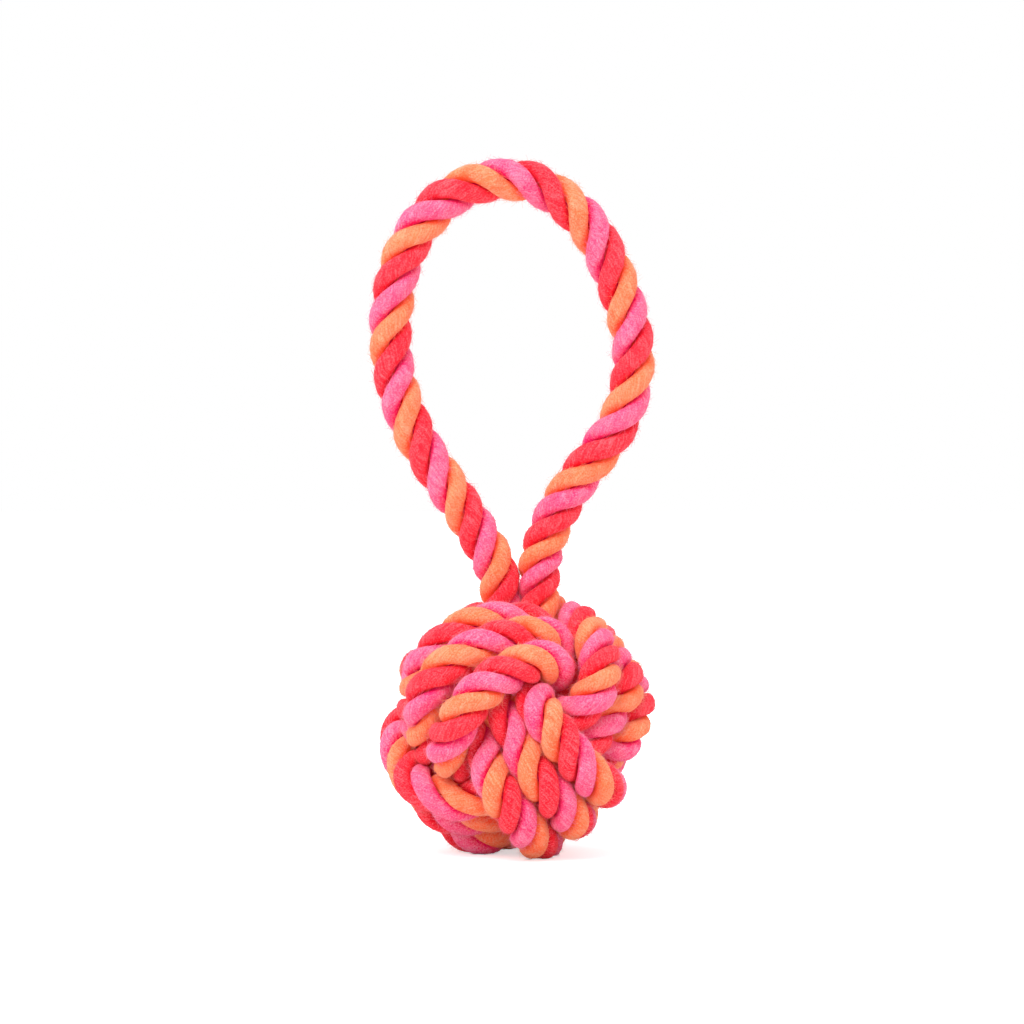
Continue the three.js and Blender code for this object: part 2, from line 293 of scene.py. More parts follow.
def push_apart(points, distance, beads_in_step):
    """How far each point is pushed by the turns that lie closer than a distance."""
    shares = np.arange(beads_in_step) / beads_in_step
    beads = (points[:-1, None] * (1 - shares)[None, :, None]
             + points[1:, None] * shares[None, :, None]).reshape(-1, 3)
    step = np.linalg.norm(points[2] - points[1])
    free_run = math.ceil(FREE_RUN_SHARE * distance * beads_in_step / step)
    square = (beads ** 2).sum(1)
    apart = square[:, None] + square[None] - 2 * beads @ beads.T
    first, second = np.nonzero(np.triu(apart < distance ** 2, free_run))
    between = beads[first] - beads[second]
    length = np.linalg.norm(between, axis=1)
    between *= ((distance - length) / 2 / length)[:, None]
    push = np.zeros_like(points)
    weight = np.zeros(len(points))
    for bead, way in ((first, 1), (second, -1)):
        row = bead // beads_in_step
        along = bead / beads_in_step - row
        np.add.at(push, row, way * between * (1 - along)[:, None])
        np.add.at(push, row + 1, way * between * along[:, None])
        np.add.at(weight, row, 1 - along)
        np.add.at(weight, row + 1, along)
    return push / np.maximum(weight, 1)[:, None]


def keep_clear(points):
    """Moves points off the core and the floor, in place."""
    length = np.linalg.norm(points, axis=1)[:, None]
    points *= np.maximum(length, CORE_REACH) / length
    points[:, 2] = np.maximum(points[:, 2], FLOOR_REST)


def draw_tight(points):
    points = respace(points)
    passes = []
    for start, path in steered_passes():
        middle = ((points - start) ** 2).sum(1).argmin()
        passes.append((np.arange(middle - STEPS_STEERED, middle + STEPS_STEERED + 1), path))
    for turn in range(ROUNDS):
        left = 1 - turn / ROUNDS
        stiff = STIFF_SHARE * np.clip((left - 1 + STEERED_SHARE) / EASED_SHARE, 0, 1)
        moved = points.copy()
        bend = points[:-2] + points[2:] - 2 * points[1:-1]
        moved[1:-1] += SLACK_SHARE * left / 2 * bend
        wider = points[:-4] + points[4:] - 2 * points[2:-2]
        moved[2:-2] -= stiff * (wider - 4 * bend[1:-1])
        length = np.linalg.norm(moved, axis=1)[:, None]
        moved *= (length - PULL_SHARE * PITCH * left) / length
        if left > 1 - STEERED_SHARE:
            for rows, path in passes:
                steer(moved, rows, path)
        moved += push_apart(moved, PITCH, BEADS_IN_STEP)
        keep_clear(moved)
        moved[:2] = points[:2]
        moved[-2:] = points[-2:]
        points = moved
        if turn % RESPACE_EVERY == RESPACE_EVERY - 1:
            points = respace(points)
    return points


knot_line = draw_tight(loose_knot)
knot_length = np.linalg.norm(np.diff(knot_line, axis=0), axis=1).sum()
print("rope in the ball:", round(knot_length / MM), "mm")

# %% [markdown]
# ## The whole rope
# The hand loop and the turns are one rope. A real rope has two ends, and on this toy they are tucked
# under the turns, so the rope starts and ends in the ball, where one turn dives below the others. It
# comes out up the left leg, goes over the loop and down the right leg, and goes on round the ball.

# %% The whole rope
TUCK_SHARE = 0.656
ROUTE_STEP = 8
tuck = round(len(knot_line) * TUCK_SHARE)
coarse_loop = loop_line[::-1][ROUTE_STEP:-ROUTE_STEP:ROUTE_STEP]
whole_rope = np.vstack([knot_line[tuck:], coarse_loop, knot_line[:tuck]])

# %% [markdown]
# ## Working the turns by hand
# The last millimetres of a knot are worked with the fingers. Each line below names a place on the rope
# and how it is moved, both as right, away from the viewer and up from the ball's middle, in
# millimetres. The move fades out along the rope, and then the other turns make room.

# %% Working the turns by hand
FINGER_MOVES = [
    ((-34, -12, 3), (4, 3, 0)), ((-30, -20, 18), (2, 0, -0.5)), ((-20, -22, 28), (0.5, 0, -1)),
    ((-5, -17, 33), (0, -1, -0.5)), ((-33, 8, 17), (3.5, 1, -1)), ((-17, 6, 32), (3, 2, -4)),
    ((-23, 8, 23), (2, 0, -2)), ((-29, -24, 2), (2, 0, 0)), ((-10, -30, 26), (0, 0, -1)),
    ((-24, -37, -5), (3, 1, 1)), ((-24, -30, -9), (1.5, 1, 0)), ((-19, -23, -11), (3, 0, 0)),
    ((15, -26, 13), (-2, 3, 2)),
    ((17, 9, 35), (-1, -2, -2.5)), ((21, 1, 33), (-2, -3, -1.5)), ((26, -14, 29), (-3.5, 0, -1)),
    ((28, -22, 26), (-1.5, 0, 0)),
    ((32, -3, 22), (-3.5, 0, -1)), ((36, 3, 13), (-2.5, 0, 0)), ((32, 0, -6), (-3.5, 0, 0)),
    ((-22, -23, -22), (1.5, 0, 1.5)), ((-35, -7, -14), (2.2, 0, 0)), ((-31, 3, -21), (4, 0, 2)),
    ((-24, 8, -31), (4.5, 0, 2)), ((31, 11, -19), (-6, 0, 3)), ((20, 17, -31), (-3, 0, 3)),
    ((30, -23, -23), (-3, 1, 5)), ((30, -10, -21), (-5, 0, 5)), ((20, -18, -29), (-3, 0, 1.5)),
    ((7, -41, 4), (0.5, 0, 2)),
    ((-6, 0, 40), (1.7, 0, 0)), ((8, 0, 40), (-0.9, 0, 0)),
]
FINGER_REACH = 18 * MM
HOLD_SHARE = 0.3
ROOM_SHARE = 0.96
ROOM_ROUNDS = 40


def worked(points):
    """The rope after the finger moves, with its ends where they were."""
    start = points.copy()
    along = np.concatenate([[0], np.cumsum(np.linalg.norm(np.diff(start, axis=0), axis=1))])
    held = np.zeros(len(points))
    for place, move in FINGER_MOVES:
        row = ((start - np.array(place) * MM) ** 2).sum(1).argmin()
        near = np.clip(1 - np.abs(along - along[row]) / FINGER_REACH, 0, 1)
        near = eased(near)
        points = points + near[:, None] * np.array(move) * MM
        held = np.maximum(held, near)
    placed = points.copy()
    for _ in range(ROOM_ROUNDS):
        points = points + push_apart(points, PITCH * ROOM_SHARE, BEADS_IN_STEP) * (1 - held)[:, None]
        points += (placed - points) * (HOLD_SHARE * held ** 2)[:, None]
        keep_clear(points)
    return points


ROPE_STEP = 1 * MM
EVENING_ROUNDS = 6
middle_line = smooth_line(worked(whole_rope), ROPE_STEP)
for _ in range(EVENING_ROUNDS):
    middle_line[1:-1] += ((middle_line[:-2] + middle_line[2:]) / 2 - middle_line[1:-1]) / 2
row_count = len(middle_line)
print("whole rope:", row_count - 1, "mm long")

# %% [markdown]
# ## Directions along the rope
# A strand winds round the middle line, so at each place there must be two directions square to the
# line to measure its angle from. They are carried along with as little turn as possible, because
# directions that spin by themselves would add twist to the rope.

# %% Directions along the rope


def unit(vectors):
    return vectors / np.linalg.norm(vectors, axis=-1, keepdims=True)


forward = unit(np.gradient(middle_line, axis=0))
first_side = np.zeros_like(forward)
side = np.array([0.0, 1.0, 0.0])
for row, ahead in enumerate(forward):
    side = unit(side - ahead * (side @ ahead))
    first_side[row] = side
second_side = np.cross(forward, first_side)

# %% [markdown]
# ## The lay of the strands
# Three strands go round the rope once in a bit more than two rope widths. A hand-tied rope isn't laid
# quite evenly, so each note below names a strand and a place where its back shows, in millimetres
# across and up from the ball's middle. Each place is looked up on the skin of the rope that lies in
# front there, and between the notes the twist is spread evenly. A note that would make the twist jump
# is passed over.

# %% The lay of the strands
LAY = 28 * MM
STRANDS = ("red", "pink", "orange")
FACING_NOTES = [
    ("pink", -10.6, -9.1), ("orange", -6.4, -16.7), ("red", -0.8, -24.3),
    ("pink", 4.4, -31.9), ("orange", 8.2, -36.4),
    ("red", -6.4, 1.9), ("pink", -1.4, -2.4), ("orange", 4.6, -11.3), ("red", 10.9, -19.4),
    ("pink", 16.4, -26.4), ("orange", 21.3, -29.5),
    ("pink", 4.4, 5.5), ("orange", 10.3, 0.7), ("red", 16.7, -6.9), ("pink", 22.9, -13.6),
    ("orange", 27.1, -19.7),
    ("orange", -6.2, 46.3), ("orange", -17.7, 69.4), ("orange", -32.7, 95.2),
    ("orange", -37.4, 122.3), ("orange", -30.1, 149.7), ("orange", -7.7, 166.2),
    ("orange", 19.4, 155.8), ("orange", 33.8, 130.6), ("orange", 34.4, 102.9),
    ("orange", 19.9, 75.4), ("orange", 9.1, 53), ("red", 8.7, 41.1),
    ("pink", 0.9, 34.5), ("red", -20.7, 29.6),
    ("pink", -28, 20.4), ("orange", -33.8, 11.6),
    ("orange", 11.6, 26.5), ("red", 0.9, 29.6), ("pink", -8.2, 27.7), ("orange", -17.3, 22.3),
    ("red", -22.8, 15.3), ("pink", -28.9, 5.2), ("orange", -29.2, -3.3),
    ("orange", 9.1, 19.8), ("red", 1.2, 18), ("pink", -7.9, 15.3), ("orange", -14.3, 7.4),
    ("red", -18.4, 0.3),
    ("pink", -15.8, -36.8), ("orange", -8.5, -35.5),
    ("red", 38.6, 5.8), ("orange", 35.3, -1.2), ("pink", 30.7, -8.2),
    ("orange", -13.4, -29.8), ("pink", -21.6, -29.8),
    ("pink", 33.2, 22.3), ("red", 33.5, 15), ("orange", 30.1, 7.7), ("pink", 27.1, 0.1),
    ("orange", -19.3, -18.9), ("pink", -29.9, -17), ("red", -35.6, -13.2), ("orange", -38, -7.4),
    ("red", 17.9, 34.4), ("orange", 23.5, 31.3), ("pink", 26.1, 27.7), ("red", 26.6, 22.1),
    ("orange", 24.6, 14.9), ("pink", 22, 7.7),
]
NOTE_REACH = 0.6 * MM
NOTE_SMOOTHING = 15
NOTE_JUMP = 0.25
SKIN_STEPS = 72
away_from_viewer = np.array([0, math.cos(camera_rise), -math.sin(camera_rise)])
upward = np.array([0, math.sin(camera_rise), math.cos(camera_rise)])
skin_angles = np.linspace(0, 2 * math.pi, SKIN_STEPS, endpoint=False)[None, :, None]
skin = middle_line[:, None] + ROPE / 2 * (
    np.cos(skin_angles) * first_side[:, None] + np.sin(skin_angles) * second_side[:, None])
skin_seen = np.stack([skin[..., 0], skin @ upward], -1)
skin_depth = skin @ away_from_viewer


def noted_place(across, up):
    """The row of the rope and the angle round it that show at a place."""
    distance = np.linalg.norm(skin_seen - np.array([across, up]) * MM, axis=-1)
    near = distance < max(NOTE_REACH, distance.min() + NOTE_REACH / 2)
    row, step = np.unravel_index(np.where(near, skin_depth, np.inf).argmin(), near.shape)
    return row, skin_angles[0, step, 0]


notes = []
for strand, across, up in FACING_NOTES:
    row, angle = noted_place(across, up)
    notes.append((row, angle / (2 * math.pi) - STRANDS.index(strand) / len(STRANDS)))
notes.sort()
rows = []
turns = []
for row, wanted in notes:
    if rows:
        natural = turns[-1] + (row - rows[-1]) * ROPE_STEP / LAY
        wanted += round(natural - wanted)
        if abs(wanted - natural) > NOTE_JUMP and (row - rows[-1]) * ROPE_STEP < LAY:
            continue
    rows.append(row)
    turns.append(wanted)
rows = [0, *rows, row_count - 1]
before_first = turns[0] - rows[1] * ROPE_STEP / LAY
after_last = turns[-1] + (rows[-1] - rows[-2]) * ROPE_STEP / LAY
lay_turns = np.interp(np.arange(row_count), rows, [before_first, *turns, after_last])
window = np.hanning(2 * NOTE_SMOOTHING + 3)[1:-1]
padded = np.pad(lay_turns, NOTE_SMOOTHING, mode="reflect", reflect_type="odd")
lay_turns = np.convolve(padded, window / window.sum(), mode="valid")
lays = ROPE_STEP / np.maximum(np.gradient(lay_turns), 1e-9)
print("lay from", round(lays.min() / MM, 1), "to", round(lays.max() / MM, 1), "mm")

# %% [markdown]
# ## One strand, laid straight
# A strand's section is a wedge with a round back: a round yarn that the other two press into a third
# of the rope. A circle takes that shape, is extruded once to the rope's whole length, and its long
# edges are then subdivided once a millimetre. That is a straight strand, and all three colours start
# from this same mesh.

# %% One strand, laid straight
STRAND_SIDES = 24
STRAND_RISE_SHARE = 0.268
STRAND_THICK_SHARE = 0.232
STRAND_WIDE_SHARE = 0.3
STRAND_GAP = 0.1 * MM
WEDGE_POWER = 8
THIRD = 2 * math.pi / len(STRANDS)
strand_middle = ROPE * STRAND_RISE_SHARE


def section_reach(turn):
    """How far a strand's section reaches from its own middle: a round back and two flat sides."""
    out, across = math.cos(turn), math.sin(turn)
    round_reach = ROPE / math.hypot(out / STRAND_THICK_SHARE, across / STRAND_WIDE_SHARE)
    slope = abs(across) * math.cos(THIRD / 2) - out * math.sin(THIRD / 2)
    if slope <= 0:
        return round_reach
    flat_reach = (strand_middle * math.sin(THIRD / 2) - STRAND_GAP) / slope
    return (round_reach ** -WEDGE_POWER + flat_reach ** -WEDGE_POWER) ** (-1 / WEDGE_POWER)


def straight_strand():
    bm = bmesh.new()
    bmesh.ops.create_circle(bm, cap_ends=False, segments=STRAND_SIDES, radius=1)
    for vert in bm.verts:
        reach = section_reach(math.atan2(vert.co.y, vert.co.x))
        vert.co = (strand_middle + reach * vert.co.x, reach * vert.co.y, 0)
    far = bmesh.ops.extrude_edge_only(bm, edges=bm.edges[:])["geom"]
    far_verts = [part for part in far if isinstance(part, bmesh.types.BMVert)]
    bmesh.ops.translate(bm, verts=far_verts, vec=(0, 0, ROPE_STEP * (row_count - 1)))
    long_edges = [edge for edge in bm.edges if not edge.is_boundary]
    bmesh.ops.subdivide_edges(bm, edges=long_edges, cuts=row_count - 2, use_grid_fill=True)
    bmesh.ops.holes_fill(bm, edges=[edge for edge in bm.edges if edge.is_boundary], sides=0)
    bmesh.ops.recalc_face_normals(bm, faces=bm.faces)
    mesh = bpy.data.meshes.new("straight_strand")
    bm.to_mesh(mesh)
    bm.free()
    return mesh


def corners_of(mesh):
    """Every vertex's place, as rows of three numbers."""
    flat = np.zeros(len(mesh.vertices) * 3)
    mesh.vertices.foreach_get("co", flat)
    return flat.reshape(-1, 3)


plain_strand = straight_strand()
plain = corners_of(plain_strand)
strand_row = np.rint(plain[:, 2] / ROPE_STEP).astype(int)
around = np.arctan2(plain[:, 1], plain[:, 0] - strand_middle) / (2 * math.pi) * STRAND_SIDES
around = np.rint(around).astype(int) % STRAND_SIDES
unwound = np.arctan2(plain[:, 1], plain[:, 0])
strand_reach = np.hypot(plain[:, 0], plain[:, 1])
print("strand:", len(plain_strand.polygons), "faces")

# %% [markdown]
# ## How plump the rope is
# Soft rope is thinner where the knot squeezes it, and swells where it comes out of the ball.

# %% How plump the rope is
BALL_PLUMP = 1.04
LOOP_PLUMP = 1.1
from_middle = np.linalg.norm(middle_line, axis=1)
out_of_ball = np.clip((from_middle - OUTER_REACH) / ROPE, 0, 1)
plump = BALL_PLUMP + (LOOP_PLUMP - BALL_PLUMP) * eased(out_of_ball)

# %% [markdown]
# ## Where the fibres run
# A yarn is twisted one way and the strands are laid the other way, so on the outside of a rope the
# fibres run nearly along the rope, across the strands. A UV map keeps that: U is the place along the
# rope in metres, and V counts turns round the strand, less the turns that the fibres make.

# %% Where the fibres run
YARN_AROUND = 17.5 * MM
fibre_turns = math.pi * ROPE / YARN_AROUND


def write_fibre_map(mesh):
    corner_verts = np.zeros(len(mesh.loops), dtype=int)
    mesh.loops.foreach_get("vertex_index", corner_verts)
    sides = np.zeros(len(mesh.polygons), dtype=int)
    mesh.polygons.foreach_get("loop_total", sides)
    first = np.cumsum(sides) - sides
    turn = around[corner_verts].astype(float)
    quads = first[sides == 4][:, None] + np.arange(4)
    wrapped = np.ptp(turn[quads], axis=1) > STRAND_SIDES / 2
    turn[quads[wrapped]] += np.where(turn[quads[wrapped]] < STRAND_SIDES / 2, STRAND_SIDES, 0)
    row = strand_row[corner_verts]
    fibre_map = mesh.uv_layers.new(name="fibres")
    values = np.stack([row * ROPE_STEP, turn / STRAND_SIDES + fibre_turns * lay_turns[row]], 1)
    fibre_map.data.foreach_set("uv", values.ravel())


write_fibre_map(plain_strand)

# %% [markdown]
# ## Bending and pressing
# Each vertex keeps its place in the strand's section and moves to the bent rope. Soft cotton then gives
# way where two turns touch: a vertex that is inside another turn is pushed back half of the way, and
# the other turn's vertices give the other half, so both meet without a gap. The core and the floor
# don't give way. Small lumps keep the strands from looking moulded.

# %% Bending and pressing
FREE_ROWS_SHARE = 1.6
FREE_ROWS = round(FREE_ROWS_SHARE * ROPE / ROPE_STEP)
GIVE_SHARE = 0.5
CORE_CLEAR = 0.2 * MM
LUMP = 0.22 * MM
LUMP_EVERY = 6 * MM
UNEVEN_SHARE = 0.03
UNEVEN_EVERY = 16 * MM
NEAR_SHARE = 1.15
SECTION_STEPS = 61

section_angle = np.linspace(-THIRD / 2, THIRD / 2, SECTION_STEPS)
first_ring = np.nonzero((strand_row == 0) & (strand_reach > strand_middle))[0]
first_ring = first_ring[np.argsort(unwound[first_ring])]
outline = np.interp(section_angle, unwound[first_ring], strand_reach[first_ring])
by_row = np.argsort(strand_row, kind="stable").reshape(row_count, STRAND_SIDES)


def bent(strand):
    """The strand's vertices laid round the rope's middle line."""
    swell = [noise.noise((row * ROPE_STEP / UNEVEN_EVERY, 0, strand)) for row in range(row_count)]
    swell = (plump * (1 + UNEVEN_SHARE * np.array(swell)))[strand_row]
    angle = unwound + 2 * math.pi * lay_turns[strand_row] + THIRD * strand
    out = np.cos(angle)[:, None] * first_side[strand_row] + np.sin(angle)[:, None] * second_side[strand_row]
    points = middle_line[strand_row] + out * (strand_reach * swell)[:, None]
    lump = np.array([noise.noise(Vector(point) / LUMP_EVERY) for point in points])
    return points + out * (lump * LUMP * strand_reach / strand_reach.max())[:, None]


def press(points):
    """Pushes each point out of the other turns, half of the way, and says how deep it was."""
    moved = points.copy()
    pressed = np.zeros(len(points))
    for row in range(row_count):
        gap = ((middle_line - middle_line[row]) ** 2).sum(1)
        others = np.nonzero(gap < (NEAR_SHARE * ROPE) ** 2)[0]
        others = others[np.abs(others - row) > FREE_ROWS]
        if not len(others):
            continue
        mine = by_row[row]
        apart = points[mine][:, None] - middle_line[others]
        along = (apart * forward[others]).sum(2)
        flat = apart - along[:, :, None] * forward[others]
        distance = np.linalg.norm(flat, axis=2)
        angle = np.arctan2((flat * second_side[others]).sum(2), (flat * first_side[others]).sum(2))
        angle = (angle - 2 * math.pi * lay_turns[others] + THIRD / 2) % THIRD - THIRD / 2
        depth = np.interp(angle, section_angle, outline) * plump[others] - distance
        depth = np.where(np.abs(along) < ROPE_STEP, depth, 0)
        deepest = depth.argmax(1)
        each = np.arange(len(mine))
        depth = np.maximum(depth[each, deepest], 0)
        moved[mine] += unit(flat[each, deepest]) * (depth * GIVE_SHARE)[:, None]
        pressed[mine] = depth
    return moved, pressed


def settle(points):
    """Keeps points off the core and on the floor."""
    length = np.linalg.norm(points, axis=1, keepdims=True)
    points = points * np.maximum(length, CORE / 2 + CORE_CLEAR) / length
    height = points[:, 2] - foot_plane
    low = 2 * CORE_CLEAR * np.exp(np.minimum(height / CORE_CLEAR / 2 - 1, 0))
    points[:, 2] = foot_plane + np.where(height < 2 * CORE_CLEAR, low, height)
    return points


# These shape a mask of painted shade. It darkens each strand's inner sides and the places where turns press
# together.
CREASE_SHADE_START_SHARE = 0.97
CREASE_SHADE_END_SHARE = 0.6
CREASE_SHADE_POWER = 1.25
PRESSED_SHADE_DEPTH = 1.2 * MM


def make_strand(strand):
    points, pressed = press(bent(strand))
    points = settle(points)
    mesh = plain_strand.copy()
    mesh.name = "strand_" + STRANDS[strand]
    mesh.vertices.foreach_set("co", (points + np.array(ball_middle)).ravel())
    mesh.shade_smooth()
    # Painted shade: the mask grows towards the strand's inner sides and with how deep it is pressed, and
    # the cotton darkens with it.
    inside = (CREASE_SHADE_START_SHARE - strand_reach * 2 / ROPE) / (CREASE_SHADE_START_SHARE - CREASE_SHADE_END_SHARE)
    crease_shade = np.maximum(np.clip(inside, 0, 1) ** CREASE_SHADE_POWER, np.clip(pressed / PRESSED_SHADE_DEPTH, 0, 1))
    mesh.attributes.new("crease_shade", "FLOAT", "POINT").data.foreach_set("value", crease_shade)
    piece = bpy.data.objects.new("rope_strand_" + STRANDS[strand], mesh)
    bpy.context.scene.collection.objects.link(piece)
    return piece


strands = {name: make_strand(k) for k, name in enumerate(STRANDS)}
print("strands:", [len(piece.data.vertices) for piece in strands.values()], "vertices")

# %% [markdown]
# ## Stray fibres
# Brushed cotton is never sharp at its edges: short fibres stand off the strands and cross the creases.
# Each one here is a thin curve that starts under the surface, runs roughly the way of the fibres, and
# lifts off at its end. Only the outside of the rope gets them. The random choices have a fixed seed.
# Blender doesn't list a mesh's vertices in the same order each time, so they are put in order first.

# %% Stray fibres
STRAYS = 9000
STRAY_THICK = 0.1 * MM
STRAY_LENGTH = (1.4 * MM, 3.8 * MM)
STRAY_LIFT = (0.1 * MM, 0.8 * MM)
STRAY_LEAN = math.radians(35)
STRAY_BOW = 0.3
STRAY_TAPER = 0.6
STRAY_POINTS = 3
SHOWN_REACH = OUTER_REACH + 1 * MM
BACK_SHARE = 0.4


def stray_curve(name, piece, seed):
    """One curve object whose splines are stray fibres on the outside of a strand."""
    chance = random.Random(seed)
    points = corners_of(piece.data) - np.array(ball_middle)
    normals = np.zeros(len(points) * 3)
    piece.data.vertex_normals.foreach_get("vector", normals)
    normals = normals.reshape(-1, 3)
    far_out = np.linalg.norm(points, axis=1) > SHOWN_REACH
    in_order = np.lexsort((around, strand_row))
    outside = in_order[(far_out & (strand_reach > BACK_SHARE * ROPE))[in_order]]
    curve = bpy.data.curves.new(name, "CURVE")
    curve.dimensions = "3D"
    curve.bevel_depth = STRAY_THICK / 2
    curve.bevel_resolution = 0
    curve.use_fill_caps = True
    for _ in range(STRAYS):
        vert = chance.choice(outside)
        normal = normals[vert]
        ahead = forward[strand_row[vert]] * chance.choice((-1, 1))
        lean = chance.gauss(0, STRAY_LEAN)
        ahead = unit(ahead - normal * (ahead @ normal))
        ahead = ahead * math.cos(lean) + np.cross(normal, ahead) * math.sin(lean)
        length = chance.uniform(*STRAY_LENGTH)
        lift = chance.uniform(*STRAY_LIFT)
        bow = chance.uniform(-STRAY_BOW, STRAY_BOW)
        spline = curve.splines.new("POLY")
        spline.points.add(STRAY_POINTS - 1)
        for k, point in enumerate(spline.points):
            share = k / (STRAY_POINTS - 1)
            place = points[vert] + np.array(ball_middle) - normal * STRAY_THICK
            place = place + ahead * length * share + normal * lift * share ** 2
            place = place + np.cross(normal, ahead) * length * bow * share ** 2
            place[2] = max(place[2], ball_middle.z + foot_plane + STRAY_THICK)
            point.co = (*place, 1)
            point.radius = 1 - STRAY_TAPER * share
    return bpy.data.objects.new(name, curve)


def stray_fibres(name, piece, seed):
    """The stray fibres of one strand as a mesh."""
    rough = stray_curve("stray_" + name, piece, seed)
    bpy.context.scene.collection.objects.link(rough)
    mesh = bpy.data.meshes.new_from_object(rough.evaluated_get(bpy.context.evaluated_depsgraph_get()))
    curve = rough.data
    bpy.data.objects.remove(rough)
    bpy.data.curves.remove(curve)
    mesh.name = "stray_" + name
    fuzz = bpy.data.objects.new("stray_fibres_" + name, mesh)
    bpy.context.scene.collection.objects.link(fuzz)
    return fuzz


strays = {name: stray_fibres(name, piece, seed) for seed, (name, piece) in enumerate(strands.items())}
print("stray fibres:", [len(fuzz.data.polygons) for fuzz in strays.values()], "faces")

# %% [markdown]
# ## Node groups for cotton
# All three colours are the same cotton, so what they share is built once, as groups. The first group
# draws fibre streaks in the UV map: turning V into a circle makes them join up all round the strand.
# The second makes the soft mottled bloom of a brushed surface. The third mixes the dye's colour with a
# paler tone of fibres that catch the light and with a deep tone of painted shade, laid into the creases and
# in random mottles, and it gives out a painted glow in the creases.
# In each pair below the first number scales what a texture gives, and the second is added to it.

# %% Node groups for cotton


def new_group(name, inputs, outputs):
    group = bpy.data.node_groups.new(name, "ShaderNodeTree")
    for socket_name, kind, value in inputs:
        socket = group.interface.new_socket(socket_name, in_out="INPUT", socket_type=kind)
        socket.default_value = value
    for socket_name, kind in outputs:
        group.interface.new_socket(socket_name, in_out="OUTPUT", socket_type=kind)
    return group


def put(tree, kind, inputs=(), **settings):
    """Adds a node, sets it up, and links or sets its inputs by name or number."""
    node = tree.nodes.new("ShaderNode" + kind)
    for key, value in settings.items():
        setattr(node, key, value)
    for key, value in dict(inputs).items():
        if isinstance(value, bpy.types.NodeSocket):
            tree.links.new(value, node.inputs[key])
        else:
            node.inputs[key].default_value = value
    return node


def maths(tree, operation, *values):
    return put(tree, "Math", enumerate(values), operation=operation).outputs[0]


def clamped(tree, value):
    return put(tree, "Clamp", {"Value": value}).outputs[0]


def colour_mix(tree, factor, first, second):
    return put(tree, "Mix", {"Factor": factor, 6: first, 7: second}, data_type="RGBA").outputs[2]


YARN_RADIUS = YARN_AROUND / (2 * math.pi)
DRIFT_SIZE = 5 * MM
PALE_BY_STREAK = (2.1, -0.8)
PALE_BY_BLOOM = (2.0, -1.0)
DEEP_BY_BROAD = (1.6, -0.68)
DEEP_BY_BLOOM = (-1.6, 0.8)
BLOOM_HEIGHT = 0.6
# CREASE_GLOW is how strong the painted glow in the creases is.
CREASE_GLOW = 0.1


def fibre_group():
    group = new_group(
        "laid fibres",
        [("Fibre Width", "NodeSocketFloat", 0.42 * MM), ("Fibre Length", "NodeSocketFloat", 6 * MM),
         ("Wander", "NodeSocketFloat", 0.3)],
        [("Streak", "NodeSocketFloat")])
    given = group.nodes.new("NodeGroupInput")
    place = put(group, "UVMap", uv_map="fibres").outputs["UV"]
    split = put(group, "SeparateXYZ", {0: place})
    object_place = put(group, "TexCoord").outputs["Object"]
    drift = put(group, "TexNoise", {"Vector": object_place, "Scale": 1 / DRIFT_SIZE, "Detail": 1.0})
    drift = maths(group, "MULTIPLY_ADD", drift.outputs["Fac"], given.outputs["Wander"],
                  maths(group, "MULTIPLY", split.outputs["Y"], 2 * math.pi))
    width = given.outputs["Fibre Width"]
    across = maths(group, "MULTIPLY", maths(group, "COSINE", drift), YARN_RADIUS)
    across = maths(group, "DIVIDE", across, width)
    up = maths(group, "MULTIPLY", maths(group, "SINE", drift), YARN_RADIUS)
    up = maths(group, "DIVIDE", up, width)
    along = maths(group, "DIVIDE", split.outputs["X"], given.outputs["Fibre Length"])
    vector = put(group, "CombineXYZ", {"X": across, "Y": up, "Z": along}).outputs[0]
    streak = put(group, "TexNoise", {"Vector": vector, "Scale": 1.0, "Detail": 2.0, "Roughness": 0.6})
    leave = group.nodes.new("NodeGroupOutput")
    group.links.new(streak.outputs["Fac"], leave.inputs["Streak"])
    return group


def bloom_group():
    group = new_group(
        "brushed bloom",
        [("Fine Size", "NodeSocketFloat", 0.5 * MM), ("Broad Size", "NodeSocketFloat", 5 * MM)],
        [("Fine", "NodeSocketFloat"), ("Broad", "NodeSocketFloat")])
    given = group.nodes.new("NodeGroupInput")
    place = put(group, "TexCoord").outputs["Object"]
    leave = group.nodes.new("NodeGroupOutput")
    for size, detail, out in (("Fine Size", 3.0, "Fine"), ("Broad Size", 2.0, "Broad")):
        scale = maths(group, "DIVIDE", 1.0, given.outputs[size])
        cloud = put(group, "TexNoise", {"Vector": place, "Scale": scale, "Detail": detail})
        group.links.new(cloud.outputs["Fac"], leave.inputs[out])
    return group


